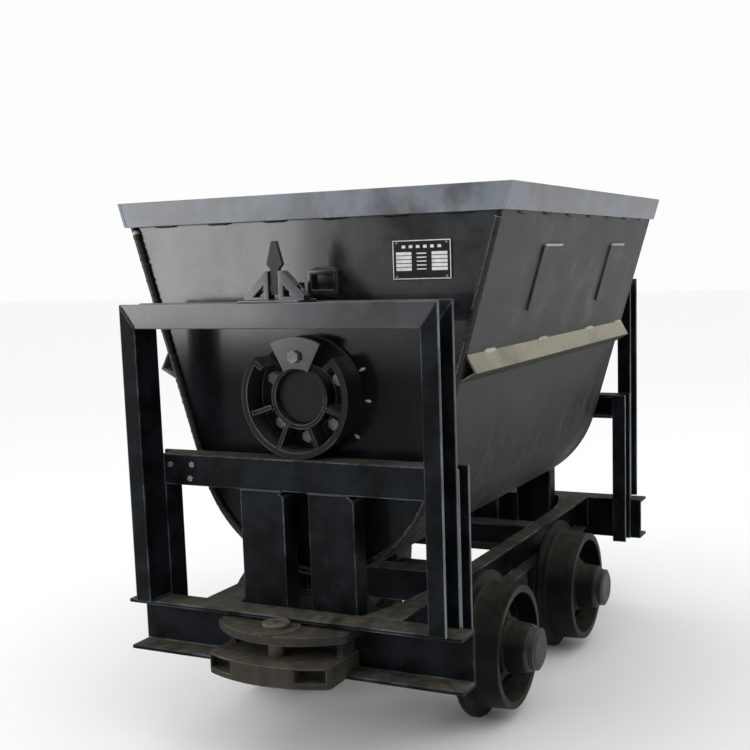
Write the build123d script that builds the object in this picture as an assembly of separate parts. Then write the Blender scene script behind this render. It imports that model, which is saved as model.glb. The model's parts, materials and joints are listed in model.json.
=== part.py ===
"""Side-tipping mine cart for 600 mm gauge track.

Frame: +X is the direction of travel and the front end, +Y the cart's left side, +Z up.
The origin is on the centre line, half way between the axles, level with the wheel flanges'
lowest point. Everything is in millimetres.
"""
import math
import os

from build123d import *

os.makedirs("parts", exist_ok=True)

# ---------------------------------------------------------------- overall sizes
portal_length = 1510.0         # over the two end portals
portal_width = 772.0           # over the portal posts
portal_top = 1021.0            # top of the portals
rim_width = 980.0              # over the tub's rim
rim_top = 1250.0
wheelbase = 560.0
running_fit = 0.1              # radial clearance of a turning or sliding fit
roll_gap = 0.3                 # daylight between a rolling ring and its rail
over = 1.0                     # how far a cutting shape runs past the face that it cuts

# ---------------------------------------------------------------- tub
wall_angle = 16.5              # degrees that a side wall leans out from vertical
belly_clearance = 54.0         # from the chassis top up to the round bottom
side_plate = 6.0
end_plate = 8.0
end_gap = 22.0                 # from a tub end plate to the rolling rail
end_inset = 7.0                # the end plates stand this far inside the wrapper's edges
rim_overhang = 13.0            # of the rim past the wrapper at each end
rim_bar = 8.0                  # thickness of the rim's side bars
rim_height = 56.0
rim_angle_leg = 6.0            # thickness of the angle that edges an end plate
stiffener_leg = 45.0           # equal angle along each side wall
stiffener_thick = 5.0
stiffener_height = 872.0
pad_width = 150.0
pad_height = 150.0
pad_thick = 6.0
pad_centres = (223.0, -320.0)
pad_z = 1050.0
plate_width = 136.0            # rating plate
plate_height = 84.0
plate_thick = 2.5
plate_corner = 6.0
plate_y = 280.0
plate_z = 1100.0

# ---------------------------------------------------------------- end frames
post_depth = 80.0              # channel of the portals
post_flange = 40.0
post_web = 5.0
post_flange_thick = 8.0
top_bar_height = 54.0
rail_depth = 63.0              # rolling rail, along X
rail_height = 71.0
rail_top = 677.0
rail_wall = 8.0
centre_post_width = 112.0
centre_post_gap = 62.0
centre_post_depth = 50.0
centre_post_wall = 6.0
centre_post_chamfer = 15.0

# ---------------------------------------------------------------- chassis
sill_top = 346.0
sill_height = 120.0
sill_flange = 68.0
sill_thick = 9.0
sill_width = 832.0
chassis_rail_inner = 203.0     # inner face of each chassis rail from the centre line
chassis_rail_width = 45.0
chassis_rail_height = 100.0
chassis_rail_wall = 6.0
cross_member_width = 60.0
cross_member_height = 80.0
cross_member_x = 300.0
gusset_length = 270.0
gusset_reach = 50.0
gusset_thick = 8.0

# ---------------------------------------------------------------- rolling gear
ring_radius = 133.0
ring_wall = 14.0
ring_base = 12.0
ring_width = 75.0              # from the tub's end plate to the ring's face
ring_opening = 48.0            # half angle of the gap at the top, degrees
hub_bore = 60.0                # radius
hub_wall = 10.0
hub_length = 52.0
rib_thick = 10.0
rib_length = 65.0
ring_bolt_circle = 90.0
ring_bolt_angles = (0, 65, 132, 180, 228, 295)   # degrees round from the top
rib_angles = (108, 156, 204, 252)
rib_root = 2.0                 # a rib's overlap with the hub and the tread
curl_reach = 18.0              # how far the tread's curled ends point inwards
curl_thick = 12.0
bolt_radius = 8.0
bolt_head_flats = 24.0
bolt_head_height = 11.0
nut_height = 12.0
bolt_play = 0.2
cap_plate_angle = 28.0         # half angle of the plate that closes the ring's gap
cap_plate_thick = 10.0
cap_plate_gap = 4.0            # from the hub's bore to the cap plate's inner edge
trunnion_length = 38.0
trunnion_chamfer = 4.0

# ---------------------------------------------------------------- wheels and axles
tread_radius = 150.0
flange_height = 27.0
flange_round = 6.0
flange_inner = 264.0           # inner face of the wheel flange from the centre line
flange_thick = 25.0
wheel_outer = 366.0            # outer face of the tread
tread_taper = 3.0
fillet_run = 6.0               # along the axle, from the flange's outer face to the tread
rim_section = 20.0
hub_radius = 62.0
hub_outer = 396.0
hub_setback = 2.0              # the hub stands this far inboard of the flange's face
hub_draft = 4.0
web_thick = 18.0
web_inset = 34.0               # the web's inner face at the rim, from the flange's face
web_dish = 32.0                # how far the web leans outwards from the rim to the hub
spoke_count = 5
spoke_width = 26.0
spoke_root = 7.0               # web left standing round the hub and inside the rim
axle_radius = 30.0
journal_radius = 25.0
journal_end = 384.0
shoulder_inset = 6.0           # the axle's full size runs this far into the wheel
bearing_width = 24.0
bearing_inset = 10.0           # inner bearing, from the flange's face
bearing_gap = 1.0              # from the outer bearing to the axle nut
bearing_outer = 48.0
hub_cap_radius = 50.0
hub_cap_depth = 25.0
hub_cap_wall = 5.0
hub_cap_flange = 4.0           # how far the cap's flange stands out
hub_cap_flange_thick = 5.0
hub_cap_round = 10.0
nut_radius = 34.0
axle_nut_height = 14.0
saddle_length = 110.0
saddle_wall = 16.0
saddle_pad = 14.0              # thickness of a saddle's top pad
saddle_chamfer = 18.0

# ---------------------------------------------------------------- couplers
bumper_reach = 175.0           # from the end sill's web to the bumper's front
bumper_drop = 7.0              # from the sill's top flange down to the upper tier
lower_nose = 340.0             # radius of the lower tier's front, in plan
lower_half = 150.0             # half width
upper_nose = 222.0
upper_half = 160.0
upper_setback = 24.0
corner_round = 16.0
lower_tier = 46.0
throat = 36.0
upper_tier = 20.0
cheek_thick = 14.0
pin_reach = 100.0              # from the end sill's web to the pin
pin_radius = 20.0
pin_head_radius = 31.0
pin_head_height = 10.0
pin_head_round = 4.0
pin_eye_radius = 5.0
pin_shortfall = 6.0            # the pin ends this far above the bumper's underside
boss_radius = 53.0
boss_height = 6.0
cheek_inset = 10.0
pocket_width = 62.0
pocket_height = 28.0
pocket_depth = 56.0
pocket_pitch = 220.0
pocket_roof = 5.0              # metal over a pocket

# ---------------------------------------------------------------- latches
pivot_rise = 29.0              # pivot, from the portal's top
latch_pin_radius = 6.0
lever_width = 20.0
lever_thick = 14.0
lever_length = 98.0            # above the pivot
lever_tail = 14.0              # below the pivot
lever_neck = 40.0              # from the pivot up to where the handle flares
lever_flare = 9.0              # each side
lever_tip = 10.0               # width at the tip
arm_height = 14.0
arm_drop = 5.0                 # the arm's underside, below the pivot
arm_width = 14.0
nose_length = 16.0             # along X
nose_setback = 25.0            # nose centre from the tub's end plate
latch_slot = 24.0
latch_spread = 146.0           # over the bracket's feet
latch_depth = 26.0
bracket_base = 5.0
bracket_rise = 36.0            # above the pivot
bracket_crown = 10.0           # width of a leg's top
bracket_toe = 8.0              # height of a leg's outer end
bracket_rib = 12.0             # metal left round a leg's window
window_rise = 24.0
keeper_gap = 24.0
keeper_thick = 8.0
keeper_height = 36.0
keeper_reach = 52.0            # from the tub's end plate
keeper_drop = 13.0             # keeper's top, below the portal's top
nose_lift = 8.0                # daylight between the nose and the keeper at rest
loop_width = 74.0
loop_height = 52.0
loop_bar = 10.0
loop_depth = 14.0
loop_y = 48.0
loop_z = 1058.0

# ---------------------------------------------------------------- derived places
portal_face = portal_length / 2
web_plane = portal_face - post_depth          # sill web, rail posts and centre posts meet here
rail_inner = web_plane - rail_depth
end_face = rail_inner - end_gap
tub_length = 2 * (end_face + end_inset)       # over the wrapper plate
rim_length = tub_length + 2 * rim_overhang
lean = math.radians(wall_angle)
wall_top_y = rim_width / 2 - rim_bar / math.cos(lean)
wall_distance = wall_top_y * math.cos(lean) - rim_top * math.sin(lean)
belly_z = (wall_distance + sill_top + belly_clearance) / (1 - math.sin(lean))
belly_radius = belly_z - sill_top - belly_clearance
post_inner_y = portal_width / 2 - post_flange
sill_bottom = sill_top - sill_height
ring_face = end_face + ring_width
ring_z = rail_top + ring_radius + roll_gap
flange_radius = tread_radius + flange_height
axle_z = flange_radius
bar_bottom = portal_top - top_bar_height
rail_bottom = rail_top - rail_height
rail_low = sill_top - chassis_rail_height
chassis_rail_outer = chassis_rail_inner + chassis_rail_width
bumper_front = web_plane + bumper_reach
bumper_back = web_plane + sill_thick
upper_top = sill_top - sill_thick - bumper_drop
upper_bottom = upper_top - upper_tier
lower_top = upper_bottom - throat
bumper_bottom = lower_top - lower_tier
pin_x = web_plane + pin_reach
latch_x = portal_face - post_depth / 2
latch_pivot_z = portal_top + pivot_rise
keeper_top = portal_top - keeper_drop
nose_x = end_face + nose_setback
ENDS = {"front": 1, "rear": -1}
SIDES = {"left": 1, "right": -1}


# ---------------------------------------------------------------- shape helpers
def block(x0, x1, y0, y1, z0, z1):
    """A box between two corners."""
    size = (abs(x1 - x0), abs(y1 - y0), abs(z1 - z0))
    return Pos((x0 + x1) / 2, (y0 + y1) / 2, (z0 + z1) / 2) * Box(*size)


def prism_x(points, x0, x1):
    """A polygon of (y, z) points, drawn out along X."""
    face = Plane.YZ * make_face(Polyline(*points, close=True))
    return Pos(x0, 0, 0) * extrude(face, amount=x1 - x0)


def prism_y(points, y0, y1):
    """A polygon of (x, z) points, drawn out along Y."""
    face = Plane.XZ * make_face(Polyline(*points, close=True))
    return Pos(0, y1, 0) * extrude(face, amount=y1 - y0)


def rod_x(radius, x0, x1, y, z):
    """A round bar along X."""
    return Pos((x0 + x1) / 2, y, z) * Rot(0, 90, 0) * Cylinder(radius, abs(x1 - x0))


def rod_y(radius, y0, y1, x, z):
    """A round bar along Y."""
    return Pos(x, (y0 + y1) / 2, z) * Rot(90, 0, 0) * Cylinder(radius, abs(y1 - y0))


def rod_z(radius, z0, z1, x, y):
    """A round bar along Z."""
    return Pos(x, y, (z0 + z1) / 2) * Cylinder(radius, z1 - z0)


def at_end(shape, end):
    """The front end's shape, or its mirror image at the rear."""
    return shape if ENDS[end] > 0 else mirror(shape, Plane.YZ)


def at_side(shape, side):
    """The left side's shape, or its mirror image on the right."""
    return shape if SIDES[side] > 0 else mirror(shape, Plane.XZ)


def hex_head_x(x0, x1, y, z):
    """A hexagon bolt head or nut along X."""
    head = extrude(RegularPolygon(bolt_head_flats / 2, 6, major_radius=False), amount=x1 - x0)
    return Pos(x0, y, z) * Rot(0, 90, 0) * head


# ---------------------------------------------------------------- tub
def tub_section(inset):
    """The tub's cross-section in the YZ plane, drawn in by inset all round."""
    radius = belly_radius - inset
    top_y = wall_top_y - inset / math.cos(lean)
    foot = (radius * math.cos(lean), belly_z - radius * math.sin(lean))
    edges = [
        Line((top_y, rim_top), foot),
        ThreePointArc(foot, (0, belly_z - radius), (-foot[0], foot[1])),
        Line((-foot[0], foot[1]), (-top_y, rim_top)),
        Line((-top_y, rim_top), (top_y, rim_top)),
    ]
    return Plane.YZ * make_face(edges)


def tub_prism(inset, x0, x1):
    """The tub's cross-section drawn out along X."""
    return Pos(x0, 0, 0) * extrude(tub_section(inset), amount=x1 - x0)


def on_wall(along, out, height):
    """The (y, z) of a point along the left side wall and out from it, from a given height."""
    base_y = wall_top_y - (rim_top - height) * math.tan(lean)
    y = base_y + along * math.sin(lean) + out * math.cos(lean)
    return (y, height + along * math.cos(lean) - out * math.sin(lean))


def ring_bolt_places():
    """The (y, z) of the bolts of a rolling ring, the top one first."""
    turns = [math.radians(90 + angle) for angle in ring_bolt_angles]
    return [(ring_bolt_circle * math.cos(a), ring_z + ring_bolt_circle * math.sin(a)) for a in turns]


def bolt_holes(x0, x1):
    """Tools that drill a ring's bolt holes."""
    radius = bolt_radius + bolt_play
    return [rod_x(radius, x0, x1, y, z) for y, z in ring_bolt_places()]


def make_tub_shell():
    """The wrapper plate: two side walls and the round bottom, bent from one sheet."""
    half = tub_length / 2
    return tub_prism(0, -half, half) - tub_prism(side_plate, -half - over, half + over)


def make_tub_end():
    """The front end plate, inside the wrapper."""
    plate = tub_prism(side_plate, end_face - end_plate, end_face)
    return plate - bolt_holes(end_face - end_plate - over, end_face + over)


def make_rim_sides():
    """The flat bars along the side walls' top edges."""
    drop = rim_height / math.cos(lean)
    low_in = on_wall(-drop, 0, rim_top)
    across = rim_bar / math.cos(lean)
    points = [
        (wall_top_y, rim_top),
        (wall_top_y + across, rim_top),
        (low_in[0] + across, low_in[1]),
        low_in,
    ]
    bar = prism_x(points, -rim_length / 2, rim_length / 2)
    return Compound([at_side(bar, side) for side in SIDES])


def make_rim_ends():
    """The angles along the end plates' top edges, their corners cut to the walls."""
    half = tub_length / 2
    wide = rim_width / 2
    top_leg = block(end_face, rim_length / 2, -wide, wide, rim_top - rim_angle_leg, rim_top)
    face_x = rim_length / 2 - rim_angle_leg
    face_leg = block(face_x, rim_length / 2, -wide, wide, rim_top - rim_height, rim_top)
    room = tub_prism(side_plate, end_face, half) + tub_prism(0, half, rim_length / 2)
    angle = (top_leg + face_leg) & room
    return Compound([at_end(angle, end) for end in ENDS])


def make_stiffener():
    """Equal angle along the left wall, its two toes on the plate."""
    reach = stiffener_leg / math.sqrt(2)
    inner = reach - stiffener_thick * math.sqrt(2)
    profile = [(reach, 0), (0, reach), (-reach, 0), (-inner, 0), (0, inner), (inner, 0)]
    points = [on_wall(along, out, stiffener_height) for along, out in profile]
    return prism_x(points, -tub_length / 2, tub_length / 2)


def make_wall_pads():
    """The four doubler pads high on the side walls."""
    half = pad_height / 2
    corners = [(-half, 0), (half, 0), (half, pad_thick), (-half, pad_thick)]
    points = [on_wall(along, out, pad_z) for along, out in corners]
    pads = [prism_x(points, x - pad_width / 2, x + pad_width / 2) for x in pad_centres]
    return Compound(pads + [at_side(pad, "right") for pad in pads])


def make_rating_plate():
    """The blank rating plate on the front end plate."""
    plate = block(
        end_face, end_face + plate_thick,
        plate_y - plate_width / 2, plate_y + plate_width / 2,
        plate_z - plate_height / 2, plate_z + plate_height / 2,
    )
    return fillet(plate.edges().filter_by(Axis.X), plate_corner)


# ---------------------------------------------------------------- rolling gear
def sector(radius, half_angle, x0, x1):
    """A wedge about the ring's axis, centred on straight up."""
    reach = radius / math.cos(math.radians(half_angle))
    spread = [90 - half_angle, 90 + half_angle]
    rim = [(reach * math.cos(math.radians(a)), reach * math.sin(math.radians(a))) for a in spread]
    return Pos(0, 0, ring_z) * prism_x([(0, 0)] + rim, x0, x1)


def make_rolling_ring():
    """Cast ring bolted to the tub's end: base disc, hub, ribs and the C-shaped tread."""
    base_face = end_face + ring_base
    hub_outer_radius = hub_bore + hub_wall
    inner = ring_radius - ring_wall
    ring = rod_x(ring_radius, end_face, base_face, 0, ring_z)
    tread = rod_x(ring_radius, base_face, ring_face, 0, ring_z)
    tread -= rod_x(inner, base_face - over, ring_face + over, 0, ring_z)
    tread -= sector(2 * ring_radius, ring_opening, base_face, ring_face + over)
    ring += tread
    ring += rod_x(hub_outer_radius, base_face, end_face + hub_length, 0, ring_z)
    rib = block(base_face, end_face + rib_length, hub_outer_radius - rib_root, inner + rib_root,
                -rib_thick / 2, rib_thick / 2)
    for angle in rib_angles:
        ring += Pos(0, 0, ring_z) * Rot(90 + angle, 0, 0) * rib
    curl = block(base_face, ring_face, inner - curl_reach, inner + rib_root, -curl_thick / 2, curl_thick / 2)
    set_back = math.degrees(curl_thick / 2 / inner)
    for angle in (ring_opening + set_back, -ring_opening - set_back):
        ring += Pos(0, 0, ring_z) * Rot(90 + angle, 0, 0) * curl
    top_y, top_z = ring_bolt_places()[0]
    ring += rod_x(2 * bolt_radius, base_face, end_face + hub_length, top_y, top_z)
    ring -= rod_x(hub_bore, end_face, ring_face, 0, ring_z)
    return ring - bolt_holes(end_face - over, ring_face + over)


def make_cap_plates():
    """The sector plate that closes the gap of each ring, on its hub and its top boss."""
    x0 = end_face + hub_length
    x1 = x0 + cap_plate_thick
    disc = rod_x(ring_radius, x0, x1, 0, ring_z)
    disc -= rod_x(hub_bore + cap_plate_gap, x0 - over, x1 + over, 0, ring_z)
    plate = (disc & sector(ring_radius, cap_plate_angle, x0, x1)) - bolt_holes(x0 - over, x1 + over)[:1]
    return Compound([at_end(plate, end) for end in ENDS])


def make_ring_bolts():
    """Bolts and nuts that hold both rolling rings."""
    bolts = []
    for index, (y, z) in enumerate(ring_bolt_places()):
        seat = end_face + (hub_length + cap_plate_thick if index == 0 else ring_base)
        back = end_face - end_plate - nut_height
        bolt = rod_x(bolt_radius, back, seat, y, z)
        bolt += hex_head_x(seat, seat + bolt_head_height, y, z)
        bolt += hex_head_x(back, end_face - end_plate, y, z)
        bolts.append(bolt)
    return Compound([at_end(bolt, end) for end in ENDS for bolt in bolts])


def make_trunnion_caps():
    """The round centre pieces in the rings' bores, on the axis that the tub rolls about."""
    radius = hub_bore - running_fit
    x0 = end_face + roll_gap
    cap = rod_x(radius, x0, x0 + trunnion_length, 0, ring_z)
    cap = chamfer(cap.edges().sort_by(Axis.X)[-1:], trunnion_chamfer)
    return Compound([at_end(cap, end) for end in ENDS])


# ---------------------------------------------------------------- end frames
def make_portal_post():
    """Front left post: a channel with its flanges outwards, mitred at the top."""
    outer = portal_width / 2
    points = [(post_inner_y, sill_top), (outer, sill_top),
              (outer, portal_top), (post_inner_y, bar_bottom)]
    post = prism_x(points, web_plane, portal_face)
    hollow = block(web_plane + post_flange_thick, portal_face - post_flange_thick,
                   post_inner_y + post_web, outer + over, sill_top - over, portal_top + over)
    return post - hollow


def make_top_bar():
    """Front top bar: the same channel laid across, flanges up, mitred to both posts."""
    outer = portal_width / 2
    points = [(-outer, portal_top), (outer, portal_top),
              (post_inner_y, bar_bottom), (-post_inner_y, bar_bottom)]
    bar = prism_x(points, web_plane, portal_face)
    hollow = block(web_plane + post_flange_thick, portal_face - post_flange_thick,
                   -outer, outer, bar_bottom + post_web, portal_top + over)
    return bar - hollow


def make_rail_post():
    """Front left rail post behind the portal post, from the sill's foot to the rail's top."""
    outer = portal_width / 2
    post = block(rail_inner, web_plane, post_inner_y, outer, sill_bottom, rail_top)
    hollow = block(rail_inner + post_flange_thick, web_plane - post_flange_thick,
                   post_inner_y + post_web, outer + over, sill_bottom - over, rail_top + over)
    return post - hollow


def make_rolling_rail():
    """Front rolling rail: a channel across the cart, web forwards, its top flange the track."""
    rail = block(rail_inner, web_plane, -post_inner_y, post_inner_y, rail_bottom, rail_top)
    hollow = block(rail_inner - over, web_plane - rail_wall, -post_inner_y - over, post_inner_y + over,
                   rail_bottom + rail_wall, rail_top - rail_wall)
    return rail - hollow


def make_centre_posts():
    """The two front posts that carry the middle of the rolling rail."""
    posts = []
    for low_y in (-centre_post_gap / 2 - centre_post_width, centre_post_gap / 2):
        high_y = low_y + centre_post_width
        cut = centre_post_chamfer
        points = [(low_y, sill_bottom), (high_y, sill_bottom), (high_y, rail_bottom - cut),
                  (high_y - cut, rail_bottom), (low_y, rail_bottom)]
        post = prism_x(points, web_plane - centre_post_depth, web_plane)
        hollow = block(web_plane - centre_post_depth - over, web_plane - centre_post_wall,
                       low_y + centre_post_wall, high_y - centre_post_wall,
                       sill_bottom - over, rail_bottom + over)
        posts.append(post - hollow)
    return Compound(posts)


# ---------------------------------------------------------------- chassis
def make_end_sill():
    """Front end sill: a channel across the cart, web inboard, flanges forwards."""
    tip = web_plane + sill_flange
    sill = block(web_plane, tip, -sill_width / 2, sill_width / 2, sill_bottom, sill_top)
    hollow = block(web_plane + sill_thick, tip + over, -sill_width / 2 - over, sill_width / 2 + over,
                   sill_bottom + sill_thick, sill_top - sill_thick)
    return sill - hollow


def make_chassis_rail():
    """Left chassis rail: a channel between the sills, flanges towards the wheels."""
    rail = block(-web_plane, web_plane, chassis_rail_inner, chassis_rail_outer, rail_low, sill_top)
    hollow = block(-web_plane - over, web_plane + over, chassis_rail_inner + chassis_rail_wall,
                   chassis_rail_outer + over, rail_low + chassis_rail_wall, sill_top - chassis_rail_wall)
    return rail - hollow


def make_cross_members():
    """Two channels that tie the chassis rails together, flanges inboard."""
    low = sill_top - cross_member_height
    members = []
    for sign in (1, -1):
        x = sign * cross_member_x
        back = x - sign * cross_member_width
        member = block(back, x, -chassis_rail_inner, chassis_rail_inner, low, sill_top)
        member -= block(back - sign, x - sign * chassis_rail_wall,
                        -chassis_rail_inner - over, chassis_rail_inner + over,
                        low + chassis_rail_wall, sill_top - chassis_rail_wall)
        members.append(member)
    return Compound(members)


def make_corner_gussets():
    """Curved plates that tie the chassis rails' inner corners to the end sills."""
    corner = (web_plane, chassis_rail_inner)
    inboard = (web_plane - gusset_length, chassis_rail_inner)
    foot = (web_plane, chassis_rail_inner - gusset_reach)
    edges = [
        Line(corner, inboard),
        TangentArc(inboard, foot, tangent=(1, 0)),
        Line(foot, corner),
    ]
    plate = Pos(0, 0, sill_top - gusset_thick) * extrude(make_face(edges), amount=gusset_thick)
    plates = [at_end(plate, end) for end in ENDS]
    return Compound(plates + [at_side(p, "right") for p in plates])


# ---------------------------------------------------------------- wheels and axles
def make_axle():
    """Front axle: a fixed shaft with a turned journal at each end."""
    shoulder = flange_inner + shoulder_inset
    x = wheelbase / 2
    axle = rod_y(axle_radius, -shoulder, shoulder, x, axle_z)
    return axle + rod_y(journal_radius, -journal_end, journal_end, x, axle_z)


def make_axle_saddles():
    """Cast saddles that hang the axles under the chassis rails."""
    half = saddle_length / 2
    outer = axle_radius + saddle_wall
    pad_low = rail_low - saddle_pad
    toe = axle_z - outer
    saddles = []
    for x in (wheelbase / 2, -wheelbase / 2):
        points = [(x - half, rail_low), (x + half, rail_low), (x + half, pad_low), (x + outer, axle_z),
                  (x + outer, toe + saddle_chamfer), (x + outer - saddle_chamfer, toe),
                  (x - outer + saddle_chamfer, toe), (x - outer, toe + saddle_chamfer),
                  (x - outer, axle_z), (x - half, pad_low)]
        saddle = prism_y(points, chassis_rail_inner, chassis_rail_outer)
        saddle -= rod_y(axle_radius, chassis_rail_inner - over, chassis_rail_outer + over, x, axle_z)
        saddles += [saddle, at_side(saddle, "right")]
    return Compound(saddles)


def make_axle_nuts():
    """Nuts on the axle ends, inside the hub caps."""
    seat = journal_end - axle_nut_height
    nuts = []
    for x in (wheelbase / 2, -wheelbase / 2):
        nut = rod_y(nut_radius, seat, journal_end, x, axle_z)
        nut -= rod_y(journal_radius, seat - over, journal_end + over, x, axle_z)
        nuts += [nut, at_side(nut, "right")]
    return Compound(nuts)


def make_wheel():
    """Cast wheel on the +Y side, centred on its own axis."""
    inner_rim = tread_radius - rim_section
    web_in = flange_inner + web_inset
    web_out = web_in + web_thick + web_dish
    lip = flange_inner + flange_thick
    profile = [
        (bearing_outer, flange_inner - hub_setback), (hub_radius, flange_inner - hub_setback),
        (hub_radius, web_out - web_thick), (inner_rim, web_in),
        (inner_rim, flange_inner), (flange_radius - flange_round, flange_inner),
        (flange_radius, flange_inner + flange_round), (flange_radius, lip - flange_round),
        (tread_radius + tread_taper, lip), (tread_radius, lip + fillet_run),
        (tread_radius - tread_taper, wheel_outer), (inner_rim, wheel_outer),
        (inner_rim, web_in + web_thick), (hub_radius, web_out),
        (hub_radius - hub_draft, hub_outer), (bearing_outer, hub_outer),
    ]
    half_section = Plane.XY * make_face(Polyline(*profile, close=True))
    wheel = revolve(half_section, Axis.Y)
    band = rod_y(inner_rim - spoke_root, flange_inner, hub_outer, 0, 0)
    band -= rod_y(hub_radius + spoke_root, flange_inner - over, hub_outer + over, 0, 0)
    for index in range(spoke_count):
        spoke = block(-spoke_width / 2, spoke_width / 2, flange_inner - over, hub_outer + over,
                      0, tread_radius)
        band -= Rot(0, 360 / spoke_count * index, 0) * spoke
    return wheel - band


def make_bearings():
    """The two roller bearings of a left wheel, about its own axis."""
    seats = (flange_inner + bearing_inset, journal_end - axle_nut_height - bearing_width - bearing_gap)
    rings = []
    for seat in seats:
        ring = rod_y(bearing_outer, seat, seat + bearing_width, 0, 0)
        bore = rod_y(journal_radius + running_fit, seat - over, seat + bearing_width + over, 0, 0)
        rings.append(ring - bore)
    return Compound(rings)


def make_hub_cap():
    """The domed cap on a left wheel's hub, about its own axis."""
    top = hub_outer + hub_cap_depth
    inner = hub_cap_radius - hub_cap_wall
    outer = hub_cap_radius + hub_cap_flange
    seat = hub_outer + hub_cap_flange_thick
    profile = [(0, top - hub_cap_wall), (inner - hub_cap_round, top - hub_cap_wall), (inner, seat),
               (inner, hub_outer), (outer, hub_outer), (outer, seat), (hub_cap_radius, seat),
               (hub_cap_radius, top - hub_cap_round / 2), (hub_cap_radius - hub_cap_round, top), (0, top)]
    return revolve(Plane.XY * make_face(Polyline(*profile, close=True)), Axis.Y)


# ---------------------------------------------------------------- couplers
def bumper_tier(nose, half_width, front, z0, z1):
    """A slab from the sill's web to a curved front, its two front corners rounded."""
    slab = rod_z(nose, z0, z1, front - nose, 0)
    slab &= block(bumper_back, front + over, -half_width, half_width, z0 - over, z1 + over)
    corners = slab.edges().filter_by(Axis.Z).sort_by(Axis.X)[-2:]
    return fillet(corners, corner_round)


def make_bumper():
    """Front bumper: two curved tiers with the coupling throat between them."""
    casting = bumper_tier(lower_nose, lower_half, bumper_front, bumper_bottom, lower_top)
    casting += bumper_tier(upper_nose, upper_half, bumper_front - upper_setback, upper_bottom, upper_top)
    casting += rod_z(boss_radius, upper_top - over, upper_top + boss_height, pin_x, 0)
    cheek_front = web_plane + sill_flange
    cheek = lower_half - cheek_inset
    for sign in (1, -1):
        casting += block(bumper_back, cheek_front, sign * (cheek - cheek_thick), sign * cheek,
                         bumper_bottom, upper_top)
    casting += block(bumper_back, bumper_back + cheek_thick, -cheek, cheek, bumper_bottom, upper_top)
    pocket_top = lower_top - pocket_roof
    for y in (-pocket_pitch / 2, pocket_pitch / 2):
        casting -= block(bumper_front - pocket_depth, bumper_front + over, y - pocket_width / 2,
                         y + pocket_width / 2, pocket_top - pocket_height, pocket_top)
    sill_tip = web_plane + sill_flange + roll_gap
    casting -= block(bumper_back, sill_tip, -upper_half, upper_half,
                     sill_bottom - over, sill_bottom + sill_thick + roll_gap)
    bore_top = upper_top + boss_height + over
    return casting - rod_z(pin_radius + running_fit, bumper_bottom - over, bore_top, pin_x, 0)


def make_coupling_pin():
    """Front coupling pin with a round head that has a small eye."""
    seat = upper_top + boss_height
    pin = rod_z(pin_radius, bumper_bottom + pin_shortfall, seat, pin_x, 0)
    head = rod_z(pin_head_radius, seat, seat + pin_head_height, pin_x, 0)
    head = fillet(head.edges().sort_by(Axis.Z)[-1:], pin_head_round)
    eye = rod_z(pin_eye_radius, seat, seat + pin_head_height + over, pin_x, 0)
    return pin + (head - eye)


# ---------------------------------------------------------------- latches
def make_latch_brackets():
    """The splayed brackets on the top bars that hold the latch levers."""
    foot = portal_top + bracket_base
    shoulder = latch_pivot_z + bracket_rise
    near = latch_slot / 2
    far = latch_spread / 2
    cheek = [(near, foot - over), (near, shoulder), (near + bracket_crown, shoulder),
             (far, foot + bracket_toe), (far, foot - over)]
    sole = foot + bracket_rib / 2
    window = [(near + bracket_rib, sole), (near + bracket_rib, sole + window_rise),
              (far - 2 * bracket_rib, sole)]
    half = latch_depth / 2
    leg = prism_x(cheek, latch_x - half, latch_x + half)
    leg -= prism_x(window, latch_x - half - over, latch_x + half + over)
    base = block(web_plane, portal_face, -far, far, portal_top, foot)
    bracket = base + leg + at_side(leg, "right")
    bracket -= rod_y(latch_pin_radius + running_fit, -latch_spread, latch_spread, latch_x, latch_pivot_z)
    return Compound([at_end(bracket, end) for end in ENDS])


def make_latch_pivots():
    """The pivot pins of the latch levers."""
    reach = latch_slot / 2 + bracket_crown + bracket_rib
    pin = rod_y(latch_pin_radius, -reach, reach, latch_x, latch_pivot_z)
    return Compound([at_end(pin, end) for end in ENDS])


def make_latch_lever():
    """Front latch lever: tapered handle, and an arm with a nose over the tub's keeper."""
    half = lever_width / 2
    neck = latch_pivot_z + lever_neck
    tail = latch_pivot_z - lever_tail
    top = latch_pivot_z + lever_length
    flare = half + lever_flare
    handle = [(-half, tail), (half, tail), (half, neck), (flare, neck + lever_flare),
              (lever_tip / 2, top), (-lever_tip / 2, top), (-flare, neck + lever_flare), (-half, neck)]
    lever = prism_x(handle, latch_x - lever_thick / 2, latch_x + lever_thick / 2)
    arm_low = latch_pivot_z - arm_drop
    tip = keeper_top + nose_lift
    inner_x = nose_x - nose_length / 2
    outer_x = nose_x + nose_length / 2
    arm = [(latch_x, arm_low), (latch_x, arm_low + arm_height), (inner_x, arm_low + arm_height),
           (inner_x, tip), (outer_x, tip), (outer_x, arm_low)]
    lever += prism_y(arm, -arm_width / 2, arm_width / 2)
    return lever - rod_y(latch_pin_radius + running_fit, -half - over, half + over, latch_x, latch_pivot_z)


def make_keepers():
    """Open forks on the tub's ends that the latch noses drop into."""
    low = keeper_top - keeper_height
    half = keeper_gap / 2
    out = end_face + keeper_reach
    fork = block(end_face, out, -half - keeper_thick, half + keeper_thick, low, keeper_top)
    fork -= block(end_face - over, out + over, -half, half, low + keeper_thick, keeper_top + over)
    return Compound([at_end(fork, end) for end in ENDS])


def make_end_loops():
    """Rectangular hand loops on the tub's end plates."""
    half_w = loop_width / 2
    half_h = loop_height / 2
    face = end_face + loop_depth
    loop = block(end_face, face, loop_y - half_w, loop_y + half_w, loop_z - half_h, loop_z + half_h)
    loop -= block(end_face - over, face + over, loop_y - half_w + loop_bar, loop_y + half_w - loop_bar,
                  loop_z - half_h + loop_bar, loop_z + half_h - loop_bar)
    return Compound([at_end(loop, end) for end in ENDS])


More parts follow.
